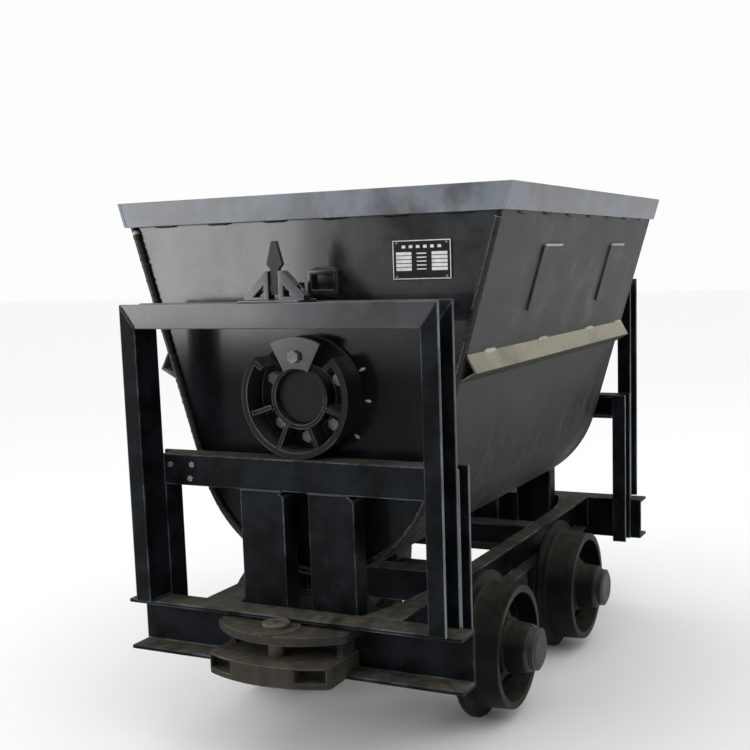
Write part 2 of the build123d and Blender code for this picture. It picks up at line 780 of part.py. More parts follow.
# ---------------------------------------------------------------- assembly
nodes = {
    "tub_shell": make_tub_shell(),
    "rim_sides": make_rim_sides(),
    "rim_ends": make_rim_ends(),
    "wall_pads": make_wall_pads(),
    "rating_plate": make_rating_plate(),
    "ring_cap_plates": make_cap_plates(),
    "ring_bolts": make_ring_bolts(),
    "trunnion_caps": make_trunnion_caps(),
    "cross_members": make_cross_members(),
    "corner_gussets": make_corner_gussets(),
    "axle_saddles": make_axle_saddles(),
    "axle_nuts": make_axle_nuts(),
    "latch_brackets": make_latch_brackets(),
    "latch_pivots": make_latch_pivots(),
    "latch_keepers": make_keepers(),
    "end_loops": make_end_loops(),
}
per_end = {
    "tub_end": make_tub_end(),
    "rolling_ring": make_rolling_ring(),
    "top_bar": make_top_bar(),
    "rolling_rail": make_rolling_rail(),
    "centre_posts": make_centre_posts(),
    "end_sill": make_end_sill(),
    "axle": make_axle(),
    "bumper": make_bumper(),
    "coupling_pin": make_coupling_pin(),
    "latch_lever": make_latch_lever(),
}
per_side = {
    "side_stiffener": make_stiffener(),
    "chassis_rail": make_chassis_rail(),
}
per_corner = {
    "portal_post": make_portal_post(),
    "rail_post": make_rail_post(),
}
per_wheel = {
    "wheel": make_wheel(),
    "wheel_bearings": make_bearings(),
    "hub_cap": make_hub_cap(),
}
for end in ENDS:
    for name, shape in per_end.items():
        nodes[f"{name}_{end}"] = at_end(shape, end)
    for side in SIDES:
        for name, shape in per_corner.items():
            nodes[f"{name}_{end}_{side}"] = at_side(at_end(shape, end), side)
        for name, shape in per_wheel.items():
            hub = Pos(ENDS[end] * wheelbase / 2, 0, axle_z)
            nodes[f"{name}_{end}_{side}"] = hub * at_side(shape, side)
for side in SIDES:
    for name, shape in per_side.items():
        nodes[f"{name}_{side}"] = at_side(shape, side)

for name, shape in nodes.items():
    export_step(shape, f"parts/{name}.step")
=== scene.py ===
"""Looks of the side-tipping mine cart: finishes, edges, welds, bolts, plate, studio and camera."""
import json
import logging
import math
import random
from collections.abc import Callable, Iterable
from dataclasses import dataclass
from enum import Enum

import bmesh
import bpy
from bmesh.types import BMEdge, BMesh, BMVert
from bpy.types import Material, Node, NodeSocket, NodeTree, Object
from mathutils import Matrix, Vector

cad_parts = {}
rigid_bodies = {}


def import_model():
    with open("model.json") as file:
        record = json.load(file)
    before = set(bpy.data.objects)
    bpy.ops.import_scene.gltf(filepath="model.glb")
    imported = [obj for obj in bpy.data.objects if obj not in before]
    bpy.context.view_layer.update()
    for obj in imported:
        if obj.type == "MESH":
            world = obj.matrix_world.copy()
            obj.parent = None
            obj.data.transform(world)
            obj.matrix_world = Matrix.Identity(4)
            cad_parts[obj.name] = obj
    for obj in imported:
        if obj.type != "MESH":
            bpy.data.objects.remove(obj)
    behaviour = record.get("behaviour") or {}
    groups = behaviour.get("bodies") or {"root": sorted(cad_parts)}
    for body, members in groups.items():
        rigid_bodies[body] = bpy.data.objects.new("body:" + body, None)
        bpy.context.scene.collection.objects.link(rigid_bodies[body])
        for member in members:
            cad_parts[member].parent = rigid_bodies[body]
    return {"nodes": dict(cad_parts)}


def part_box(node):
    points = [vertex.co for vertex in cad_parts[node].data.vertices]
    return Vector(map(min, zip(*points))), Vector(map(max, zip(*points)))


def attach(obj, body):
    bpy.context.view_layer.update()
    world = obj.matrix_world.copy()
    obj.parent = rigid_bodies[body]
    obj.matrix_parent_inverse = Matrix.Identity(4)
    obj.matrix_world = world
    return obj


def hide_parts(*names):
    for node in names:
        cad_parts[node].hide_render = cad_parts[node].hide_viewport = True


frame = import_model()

log = logging.getLogger("mine_cart")
MM = 0.001


class End(Enum):
    """The cart's two ends, by the sign of X."""

    FRONT = 1
    REAR = -1


class Side(Enum):
    """The cart's two sides, by the sign of Y."""

    LEFT = 1
    RIGHT = -1


def low(member: Enum) -> str:
    """The lower-case name that CAD nodes use for an end or a side."""
    return member.name.lower()


# ------------------------------------------------------------------ finishes
def linear(colour: str) -> tuple[float, float, float, float]:
    """Turns an sRGB hex colour into linear light.

    Args:
        colour: Six hex digits, with or without a leading hash.

    Returns:
        Red, green, blue and an alpha of one.
    """
    digits = colour.lstrip("#")
    parts = [int(digits[i : i + 2], 16) / 255 for i in (0, 2, 4)]
    light = [p / 12.92 if p <= 0.04045 else ((p + 0.055) / 1.055) ** 2.4 for p in parts]
    return (light[0], light[1], light[2], 1.0)


def add(tree: NodeTree, kind: str, inputs: dict | None = None, **settings: object) -> Node:
    """Adds one shader node.

    Args:
        tree: The tree that gets the node.
        kind: The node's class name.
        inputs: Socket name or index, with the value or the output socket that feeds it.
        settings: Attributes of the node.

    Returns:
        The new node.
    """
    node = tree.nodes.new(kind)
    for name, value in settings.items():
        setattr(node, name, value)
    for name, value in (inputs or {}).items():
        if isinstance(value, NodeSocket):
            tree.links.new(value, node.inputs[name])
        else:
            node.inputs[name].default_value = value
    return node


@dataclass(frozen=True)
class Finish:
    """A surface as it was made and as it has weathered.

    Colours are sRGB hex, lengths are millimetres and shares run from 0 to 1.
    """

    name: str
    coat: str                     # sound colour
    patch: str                    # the colour that blotches drift towards
    dust: str = "#8f8b7d"
    bare: str = "#8c8f92"         # what shows where edges are rubbed; on the frame's channels also a painted highlight
    rough: tuple[float, float] = (0.35, 0.6)
    specular: float = 0.4
    gloss_coat: float = 0.0
    gloss_rough: float = 0.2
    metallic: float = 0.0
    dust_level: float = 0.8       # cover on faces that look straight up
    dust_all: float = 0.1         # cover on every face
    wear: float = 0.5             # share of an edge that is rubbed
    edge_mm: float = 3.0          # how far the rubbing reaches from an edge
    patch_mm: float = 140.0
    grain_mm: float = 1.6
    grain_depth: float = 0.12
    wave_mm: float = 260.0
    wave_depth: float = 0.0
    streaks: float = 0.25         # how strongly rain has drawn the dust down
    under: str = ""               # the darker colour painted on downward faces as shade, when they differ
    dull_below: tuple[float, float] = (-1.0, -0.9)   # heights in metres between which gloss fades downwards

    def build(self) -> Material:
        """Builds the material, once for each finish.

        Returns:
            The material.
        """
        if self.name in bpy.data.materials:
            return bpy.data.materials[self.name]
        material = bpy.data.materials.new(self.name)
        material.use_nodes = True
        tree = material.node_tree
        tree.nodes.clear()
        place = add(tree, "ShaderNodeTexCoord")
        blotch = self._noise(tree, place, self.patch_mm, 4.0, 0.62)
        grain = self._noise(tree, place, self.grain_mm, 3.0, 0.55)
        dusty = self._dust_mask(tree, place, blotch)
        worn_and_highlit_edges = self._edge_wear_and_highlight_mask(tree, blotch)
        colour = self._mix(tree, self._ramp(tree, blotch, 0.38, 0.66), linear(self.coat), linear(self.patch))
        facing = add(tree, "ShaderNodeSeparateXYZ", {0: place.outputs["Normal"]})
        # Faces that look down take the under colour: painted shade on undersides.
        facing_down = self._ramp(tree, facing.outputs["Z"], -0.75, -0.3, 1.0, 0.0)
        if self.under:
            colour = self._mix(tree, facing_down, colour, linear(self.under))
        colour = self._mix(tree, dusty, colour, linear(self.dust))
        # Edges turn pale: real wear, and on the frame also a painted highlight.
        colour = self._mix(tree, worn_and_highlit_edges, colour, linear(self.bare))
        rough = self._ramp(tree, blotch, 0.3, 0.7, *self.rough)
        rough = self._blend(tree, dusty, rough, 0.92)
        rough = self._blend(tree, worn_and_highlit_edges, rough, 0.42)
        height = self._blend(tree, dusty, grain, 0.5)
        bump = add(tree, "ShaderNodeBump", {
            "Height": height, "Distance": self.grain_depth * MM, "Strength": 0.8})
        if self.wave_depth:
            wave = self._noise(tree, place, self.wave_mm, 1.5, 0.4)
            bump = add(tree, "ShaderNodeBump", {
                "Height": wave, "Distance": self.wave_depth * MM, "Strength": 1.0, "Normal": bump.outputs[0]})
        shader = add(tree, "ShaderNodeBsdfPrincipled", {
            "Base Color": colour, "Roughness": rough, "Normal": bump.outputs[0],
            "Specular IOR Level": self.specular, "Coat Weight": self.gloss_coat,
            "Coat Roughness": self.gloss_rough,
        })
        if self.under or self.dull_below[0] > 0:
            self._dull(tree, place, facing_down, shader)
        if self.metallic:
            clean = add(tree, "ShaderNodeMath", {0: self.metallic, 1: dusty},
                        operation="SUBTRACT", use_clamp=True)
            tree.links.new(clean.outputs[0], shader.inputs["Metallic"])
        add(tree, "ShaderNodeOutputMaterial", {"Surface": shader.outputs[0]})
        return material

    def _dull(self, tree: NodeTree, place: Node, facing_down: NodeSocket, shader: Node) -> None:
        """Takes the gloss off undersides and off the parts that oil and soot reach.

        Args:
            tree: The material's tree.
            place: The texture coordinates.
            facing_down: The share by which a face looks down.
            shader: The shader whose gloss fades.
        """
        spot = add(tree, "ShaderNodeSeparateXYZ", {0: place.outputs["Object"]})
        high = self._ramp(tree, spot.outputs["Z"], *self.dull_below, 0.1, 1.0)
        keen = self._blend(tree, facing_down, high, 0.15)
        for socket, level in (("Specular IOR Level", self.specular), ("Coat Weight", self.gloss_coat)):
            share = add(tree, "ShaderNodeMath", {0: keen, 1: level}, operation="MULTIPLY")
            tree.links.new(share.outputs[0], shader.inputs[socket])

    def _noise(self, tree: NodeTree, place: Node, size: float, detail: float, rough: float) -> NodeSocket:
        """Noise with features of a real size.

        Args:
            tree: The material's tree.
            place: The texture coordinates.
            size: The features' size in millimetres.
            detail: How many finer octaves it has.
            rough: How strong the finer octaves are.

        Returns:
            The noise value.
        """
        scale = 1 / (size * MM)
        node = add(tree, "ShaderNodeTexNoise", {
            "Vector": place.outputs["Object"], "Scale": scale, "Detail": detail, "Roughness": rough})
        return node.outputs[0]

    def _ramp(self, tree: NodeTree, value: NodeSocket, a: float, b: float,
              c: float = 0.0, d: float = 1.0) -> NodeSocket:
        """Maps a number smoothly from one range to another.

        Args:
            tree: The material's tree.
            value: The number.
            a: Start of its range.
            b: End of its range.
            c: What the start becomes.
            d: What the end becomes.

        Returns:
            The mapped number.
        """
        node = add(tree, "ShaderNodeMapRange", {0: value, 1: a, 2: b, 3: c, 4: d},
                   interpolation_type="SMOOTHSTEP")
        return node.outputs[0]

    def _mix(self, tree: NodeTree, share: NodeSocket, a: object, b: object) -> NodeSocket:
        """Mixes two colours.

        Args:
            tree: The material's tree.
            share: How much of the second shows.
            a: The first colour.
            b: The second colour.

        Returns:
            The mixed colour.
        """
        node = add(tree, "ShaderNodeMix", {0: share, 6: a, 7: b}, data_type="RGBA")
        return node.outputs[2]

    def _blend(self, tree: NodeTree, share: NodeSocket, a: NodeSocket, b: float) -> NodeSocket:
        """Mixes two numbers.

        Args:
            tree: The material's tree.
            share: How much of the second counts.
            a: The first number.
            b: The second number.

        Returns:
            The mixed number.
        """
        node = add(tree, "ShaderNodeMix", {0: share, 2: a, 3: b}, data_type="FLOAT")
        return node.outputs[0]

    def _dust_mask(self, tree: NodeTree, place: Node, blotch: NodeSocket) -> NodeSocket:
        """Where stone dust lies: on level faces, thinly elsewhere, and drawn down by rain.

        Args:
            tree: The material's tree.
            place: The texture coordinates.
            blotch: The noise that breaks the dust up.

        Returns:
            The dust's cover.
        """
        facing = add(tree, "ShaderNodeSeparateXYZ", {0: place.outputs["Normal"]})
        up = self._ramp(tree, facing.outputs["Z"], 0.15, 0.85, self.dust_all, self.dust_level)
        turn = add(tree, "ShaderNodeMapping", {"Vector": place.outputs["Object"], "Scale": (1.0, 1.0, 0.08)})
        streak = add(tree, "ShaderNodeTexNoise", {
            "Vector": turn.outputs[0], "Scale": 1 / (22 * MM), "Detail": 2.0, "Roughness": 0.5})
        drawn = self._ramp(tree, streak.outputs[0], 0.35, 0.7, 1.0 - self.streaks, 1.0 + self.streaks)
        broken = self._ramp(tree, blotch, 0.25, 0.6, 0.55, 1.15)
        first = add(tree, "ShaderNodeMath", {0: up, 1: drawn}, operation="MULTIPLY")
        return add(tree, "ShaderNodeMath", {0: first.outputs[0], 1: broken},
                   operation="MULTIPLY", use_clamp=True).outputs[0]

    def _edge_wear_and_highlight_mask(self, tree: NodeTree, blotch: NodeSocket) -> NodeSocket:
        """Where the coat is worn off: along edges, in patches. On the frame's channels the wide pale edges
        are also a painted highlight.

        Args:
            tree: The material's tree.
            blotch: The noise that breaks the wear up.

        Returns:
            The share of bare metal.
        """
        rounded = add(tree, "ShaderNodeBevel", {"Radius": self.edge_mm * MM}, samples=4)
        flat = add(tree, "ShaderNodeNewGeometry")
        agree = add(tree, "ShaderNodeVectorMath", {0: rounded.outputs[0], 1: flat.outputs["Normal"]},
                    operation="DOT_PRODUCT")
        edge = self._ramp(tree, agree.outputs["Value"], 0.86, 0.985, 1.0, 0.0)
        patchy = self._ramp(tree, blotch, 0.42, 0.62, 0.15, 1.0)
        first = add(tree, "ShaderNodeMath", {0: edge, 1: patchy}, operation="MULTIPLY")
        return add(tree, "ShaderNodeMath", {0: first.outputs[0], 1: self.wear},
                   operation="MULTIPLY", use_clamp=True).outputs[0]


# Enamel sprayed thick on flat plate: a dark mirror that the plate's slight waves bend.
END_ENAMEL = Finish("gloss_enamel_on_flat_plate", "#08090c", "#10141a", "#55534b", rough=(0.16, 0.3),
                    specular=0.5, gloss_coat=0.55, gloss_rough=0.1, dust_all=0.03, wave_depth=2.6,
                    wear=0.25, under="#090a0a", dull_below=(0.82, 1.06))
# Enamel on a rolled bar, chalked by the weather: a bluish grey bloom over black.
RIM_ENAMEL = Finish("chalked_enamel_on_flat_bar", "#333b45", "#646e7b", rough=(0.26, 0.5),
                    specular=0.5, gloss_coat=0.4, gloss_rough=0.25, dust_all=0.12, wave_depth=0.8,
                    wear=0.6, bare="#9aa0a5", streaks=0.5)
# Enamel on bent plate, dulled all over by fine stone dust: a flat grey with soft runs.
# Its undersides are painted a darker olive: painted shade, with an olive cast of grime.
SIDE_ENAMEL = Finish("dusted_enamel_on_bent_plate", "#17191b", "#272b2f", "#5b5c57",
                     rough=(0.34, 0.55), specular=0.3, gloss_coat=0.06, gloss_rough=0.35,
                     dust_all=0.26, dust_level=0.7, wave_depth=1.2, wear=0.3, streaks=0.45,
                     under="#1a1b16", dull_below=(0.6, 1.25))
# The stiffener's upper leg catches what falls: pale dust baked on the enamel.
# The angle's undersides are painted darker: painted shade.
LEDGE_ENAMEL = Finish("dust_crusted_enamel_on_angle", "#26282a", "#33342f", "#bdb8a5",
                      rough=(0.5, 0.7), specular=0.2, dust_all=0.1, dust_level=1.15, wear=0.4,
                      streaks=0.02, under="#101113", patch_mm=220.0)
# Brushed enamel on rolled channel: nearly flat black. Its wide pale rubbed edges are partly wear and partly a
# painted highlight along the channel edges.
FRAME_ENAMEL = Finish("brushed_enamel_on_channel", "#060708", "#161b20", "#5d5a50", rough=(0.38, 0.62),
                      specular=0.06, dust_all=0.01, dust_level=0.6, wear=0.95, edge_mm=5.0,
                      bare="#7b848c", wave_depth=0.3, patch_mm=90.0)
# A newer coat on the top bars, still glossy: it mirrors the sky in a blue grey.
BAR_ENAMEL = Finish("fresh_enamel_on_channel", "#0e1216", "#1b2129", "#6a675c", rough=(0.2, 0.34),
                    specular=0.5, gloss_coat=0.45, gloss_rough=0.14, dust_all=0.03, dust_level=0.5,
                    wear=0.8, wave_depth=0.6, bare="#8d959c")
# Cast iron straight from sand, painted: pebbled, dark, with rubbed high spots.
RING_IRON = Finish("painted_sand_cast_iron", "#0b0d0e", "#151819", "#55544d", "#8d908f",
                   rough=(0.45, 0.65), specular=0.12, dust_all=0.04, dust_level=0.55, wear=1.0,
                   grain_mm=2.6, grain_depth=0.5)
# Cast steel that takes knocks: pebbled, dusty brown grey, edges polished by the links.
BUMPER_STEEL = Finish("dusty_sand_cast_steel", "#1d1b18", "#2b2925", "#57534a", "#8a8a86",
                      rough=(0.5, 0.7), specular=0.1, dust_all=0.22, dust_level=0.6, wear=0.9,
                      grain_mm=3.0, grain_depth=0.6)
# Cast wheels, oily black with a little grit in the corners.
WHEEL_STEEL = Finish("oiled_sand_cast_steel", "#080909", "#111312", "#45433b", "#6c6f70",
                     rough=(0.34, 0.55), specular=0.1, dust_all=0.03, dust_level=0.45, wear=0.8,
                     grain_mm=2.4, grain_depth=0.4)
# Turned caps, painted once and handled since.
CAP_STEEL = Finish("worn_painted_pressing", "#191a1d", "#28292d", "#5b5850", "#85878a",
                   rough=(0.4, 0.55), specular=0.3, dust_all=0.08, dust_level=0.6, wear=0.8,
                   grain_mm=1.2, grain_depth=0.1)
# The outer lips of the post channels, painted pale as a highlight where their flanges catch the light.
LIP_PAINTED_HIGHLIGHT = Finish("chalked_enamel_on_channel_lip", "#2c333b", "#55606b", "#6a675c", rough=(0.3, 0.5),
                    specular=0.4, dust_all=0.08, dust_level=0.6, wear=0.7, bare="#8d959c",
                    wave_depth=0.3)
# Forged and turned steel: dull grey with brown oxide in the hollows.
FORGED_STEEL = Finish("forged_steel", "#5b5751", "#473f37", "#6b675c", "#b0b0ad", rough=(0.38, 0.62),
                      specular=0.5, metallic=0.9, dust_all=0.15, dust_level=0.5, wear=0.9, patch_mm=30,
                      grain_depth=0.1)
# Plated bolts gone grey.
BOLT_STEEL = Finish("greyed_plated_steel", "#6f7270", "#565a58", "#77756a", "#c0c2c0",
                    rough=(0.35, 0.55), specular=0.5, metallic=0.6, dust_all=0.2, dust_level=0.4,
                    wear=0.8, patch_mm=18, grain_depth=0.05)
# Ground bearing steel.
BEARING_STEEL = Finish("ground_bearing_steel", "#8b8d8f", "#7c7e80", rough=(0.2, 0.3), metallic=1.0,
                       dust_all=0.0, dust_level=0.1, wear=0.2, patch_mm=25, grain_mm=0.8,
                       grain_depth=0.01)
# Weld metal under thin paint: beads that glint grey.
WELD_METAL = Finish("painted_weld_bead", "#07090a", "#14171a", "#55534b", "#6a6e70",
                    rough=(0.25, 0.45), specular=0.35, dust_all=0.04, dust_level=0.5, wear=0.35,
                    patch_mm=24, grain_mm=1.2, grain_depth=0.2)
# Bare weld tacks, ground and chalky; on the pads' top edges they also serve as a painted highlight.
TACK_METAL = Finish("bare_weld_tack", "#b9b8b0", "#96958e", "#b3ae9c", "#d0d0cc", rough=(0.5, 0.7),
                    specular=0.5, dust_all=0.3, dust_level=0.4, wear=0.5, patch_mm=14, grain_mm=1.5,
                    grain_depth=0.3)
# The tub's inside: scoured by rock, rust in the scratches, pale dust on the floor.
SCOURED_STEEL = Finish("rock_scoured_steel_plate", "#36352f", "#45403a", "#7f7a6c", "#8c8880",
                       rough=(0.45, 0.7), specular=0.4, metallic=0.3, dust_all=0.2, dust_level=0.8,
                       wear=0.4, patch_mm=160, grain_mm=5.0, grain_depth=0.6, streaks=0.12)
# Stove-enamelled tin plate and its printed fields, left blank.
PLATE_BLACK = Finish("stoved_black_tin", "#08090a", "#0e1012", rough=(0.25, 0.4), specular=0.15,
                     dust_all=0.02, wear=0.1, grain_depth=0.02)
PLATE_WHITE = Finish("printed_white_field", "#e6e8e9", "#cfd2d3", rough=(0.4, 0.5), specular=0.4,
                     dust_all=0.08, wear=0.0, patch_mm=20, grain_depth=0.01)


# ------------------------------------------------------------------ mesh work
def new_piece(name: str, mesh_work: BMesh, body: str, finishes: Iterable[Finish],
              sharp: float = 40.0) -> Object:
    """Turns finished mesh work into a piece that rides on a CAD body.

    Args:
        name: The piece's name.
        mesh_work: The mesh, in the cart's frame. It is freed.
        body: The CAD body that carries the piece.
        finishes: One finish for each material index in use.
        sharp: Edges that turn by more than this many degrees stay sharp.

    Returns:
        The piece.
    """
    mesh = bpy.data.meshes.new(name)
    mesh_work.to_mesh(mesh)
    mesh_work.free()
    if "custom_normal" in mesh.attributes:
        mesh.attributes.remove(mesh.attributes["custom_normal"])
    for finish in finishes:
        mesh.materials.append(finish.build())
    for face in mesh.polygons:
        face.use_smooth = True
    mesh.set_sharp_from_angle(angle=math.radians(sharp))
    piece = bpy.data.objects.new(name, mesh)
    bpy.context.scene.collection.objects.link(piece)
    weighted = piece.modifiers.new("flat_faces_stay_flat", "WEIGHTED_NORMAL")
    weighted.keep_sharp = True
    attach(piece, body)
    return piece


def cad_shape(node: str) -> BMesh:
    """A welded-up copy of a CAD node's mesh.

    Args:
        node: The CAD node.

    Returns:
        Its shape, with coplanar triangles joined.
    """
    shape = bmesh.new()
    shape.from_mesh(frame["nodes"][node].data)
    bmesh.ops.remove_doubles(shape, verts=shape.verts, dist=0.01 * MM)
    bmesh.ops.dissolve_limit(shape, angle_limit=math.radians(0.3), verts=shape.verts, edges=shape.edges)
    return shape


def break_edges(shape: BMesh, width: float, sharp: float = 40.0) -> None:
    """Rounds a shape's sharp edges a little, as a file or a rolling mill leaves them.

    Args:
        shape: The mesh to work on.
        width: The width of the rounding in metres.
        sharp: Edges that turn by more than this many degrees are rounded.
    """
    edges = [e for e in shape.edges if e.is_manifold and e.calc_face_angle() > math.radians(sharp)]
    bmesh.ops.bevel(shape, geom=edges, offset=width, segments=2, profile=0.5, affect="EDGES",
                    clamp_overlap=False, material=-1)


def body_of(node: str) -> str:
    """The CAD body that a node belongs to."""
    return frame["nodes"][node].parent.name.removeprefix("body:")


def dress(node: str, finish: Finish, edge_mm: float = 1.4, inside: Finish | None = None,
          is_inside: Callable[[Vector, Vector], bool] | None = None) -> Object:
    """Stands a finished piece in for a CAD node, with the same shape and broken edges.

    Args:
        node: The CAD node.
        finish: Its finish.
        edge_mm: The width of the broken edges in millimetres.
        inside: A second finish for some faces.
        is_inside: Tells those faces by their centre and normal.

    Returns:
        The piece.
    """
    shape = cad_shape(node)
    if edge_mm:
        break_edges(shape, edge_mm * MM)
    finishes = [finish]
    if inside and is_inside:
        finishes.append(inside)
        for face in shape.faces:
            face.material_index = int(is_inside(face.calc_center_median(), face.normal))
    piece = new_piece(f"{node}.finished", shape, body_of(node), finishes)
    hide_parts(node)
    return piece


def paint(node: str, finish: Finish) -> None:
    """Gives a CAD node that stays as it is its finish.

    Args:
        node: The CAD node.
        finish: Its finish.
    """
    materials = frame["nodes"][node].data.materials
    materials.clear()
    materials.append(finish.build())


def resample(points: list[Vector], pitch: float) -> list[Vector]:
    """Spreads points evenly along a line of straight runs.

    Args:
        points: The corners of the line.
        pitch: The spacing that is wanted.

    Returns:
        The new points, ends included.
    """
    spread = [points[0].copy()]
    for start, end in zip(points, points[1:]):
        steps = max(1, round((end - start).length / pitch))
        spread += [start.lerp(end, (i + 1) / steps) for i in range(steps)]
    return spread


RIPPLE = 0.16                     # how far a bead swells and narrows, as a share of its radius
RIPPLE_PITCH = 2.6                # radians of ripple from one ring of the bead to the next
UNEVEN = 0.1


def lay_bead(work: BMesh, corners: list[Vector], radius: float, seed: int, sides: int = 7) -> None:
    """Lays one weld bead along a line, swelling and narrowing as the welder's hand moved.

    Args:
        work: The mesh that gets the bead.
        corners: The line's corners.
        radius: The bead's mean radius.
        seed: Fixes the bead's unevenness.
        sides: The number of sides of its section.
    """
    rng = random.Random(seed)
    path = resample(corners, 0.9 * radius)
    across = (path[1] - path[0]).orthogonal().normalized()
    ring = bmesh.ops.create_circle(work, cap_ends=True, radius=radius, segments=sides)["verts"]
    for index, point in enumerate(path):
        ahead = path[min(index + 1, len(path) - 1)] - path[max(index - 1, 0)]
        across = (across - across.project(ahead)).normalized()
        over = ahead.cross(across).normalized()
        end = min(index, len(path) - 1 - index)
        ripple = 1 + RIPPLE * math.cos(RIPPLE_PITCH * index) + rng.uniform(-UNEVEN, UNEVEN)
        swell = radius * min(1.0, 0.45 + 0.3 * end) * ripple   # tapers at both ends
        if index:
            made = bmesh.ops.extrude_edge_only(work, edges=edges_within(ring))["geom"]
            ring = order_like(ring, [g for g in made if isinstance(g, BMVert)])
        for turn, vert in enumerate(ring):
            angle = 2 * math.pi * turn / sides
            vert.co = point + swell * (math.cos(angle) * across + math.sin(angle) * over)
    bmesh.ops.contextual_create(work, geom=edges_within(ring))


def edges_within(ring: list[BMVert]) -> list[BMEdge]:
    """The edges whose ends both lie among some vertices."""
    return list({e for v in ring for e in v.link_edges if all(w in ring for w in e.verts)})


def order_like(ring: list[BMVert], fresh: list[BMVert]) -> list[BMVert]:
    """Puts extruded vertices in the order of the ring that they came from.

    Args:
        ring: The ring before.
        fresh: The extruded vertices.

    Returns:
        The extruded vertices in order.
    """
    ordered = []
    for vert in ring:
        ordered.append(next(w for e in vert.link_edges for w in e.verts if w in fresh))
    return ordered


def beads(name: str, lines: list[list[Vector]], radius: float, body: str,
          finish: Finish = WELD_METAL) -> Object:
    """One piece that holds a set of weld beads.

    Args:
        name: The piece's name.
        lines: The corners of each bead.
        radius: The beads' radius in metres.
        body: The CAD body that carries them.
        finish: The beads' finish.

    Returns:
        The piece.
    """
    work = bmesh.new()
    for index, line in enumerate(lines):
        lay_bead(work, line, radius, seed=index + len(name))
    bmesh.ops.recalc_face_normals(work, faces=work.faces)
    return new_piece(name, work, body, [finish], sharp=60.0)


def stitch(start: Vector, end: Vector, length: float, gap: float) -> list[list[Vector]]:
    """Splits a weld line into stitches.

    Args:
        start: One end of the line.
        end: Its other end.
        length: The length of a stitch.
        gap: The space between stitches.

    Returns:
        The ends of each stitch.
    """
    total = (end - start).length
    count = max(1, round(total / (length + gap)))
    share = length / (length + gap) / 2
    return [[start.lerp(end, (i + 0.5 - share) / count), start.lerp(end, (i + 0.5 + share) / count)]
            for i in range(count)]


def lay_disc(work: BMesh, centre: Vector, axis: Vector, radius: float, height: float,
             sides: int = 24, edge: float = 0.0, spin: float = 0.0) -> None:
    """Adds a disc, a washer face or a bolt head, standing on its seat.

    Args:
        work: The mesh that gets it.
        centre: The middle of its seat.
        axis: The way it points.
        radius: Its radius, or half its width across corners.
        height: How far it stands up.
        sides: The number of its sides: six for a bolt head.
        edge: The width of the rounding round its top.
        spin: How far it is turned about its axis, in radians.
    """
    turn = Vector((0, 0, 1)).rotation_difference(axis).to_matrix().to_4x4()
    place = Matrix.Translation(centre + axis.normalized() * height / 2) @ turn @ Matrix.Rotation(spin, 4, "Z")
    made = bmesh.ops.create_cone(work, cap_ends=True, segments=sides, radius1=radius, radius2=radius,
                                 depth=height, matrix=place)["verts"]
    if edge:
        top = [v for v in made if (v.co - centre).dot(axis.normalized()) > height * 0.9]
        bmesh.ops.bevel(work, geom=edges_within(top), offset=edge, segments=2, profile=0.5, affect="EDGES",
                        clamp_overlap=True, material=-1)


def lay_block(work: BMesh, low_corner: Vector, high_corner: Vector, edge: float = 0.0) -> None:
    """Adds a block between two corners, its edges broken.

    Args:
        work: The mesh that gets it.
        low_corner: Its lowest corner.
        high_corner: Its highest corner.
        edge: The width of its broken edges.
    """
    size = high_corner - low_corner
    place = Matrix.Translation((low_corner + high_corner) / 2) @ Matrix.Diagonal((*size, 1.0))
    made = bmesh.ops.create_cube(work, size=1.0, matrix=place)["verts"]
    if edge:
        edges = list({e for v in made for e in v.link_edges})
        bmesh.ops.bevel(work, geom=edges, offset=edge, segments=2, profile=0.5, affect="EDGES",
                        clamp_overlap=True, material=-1)


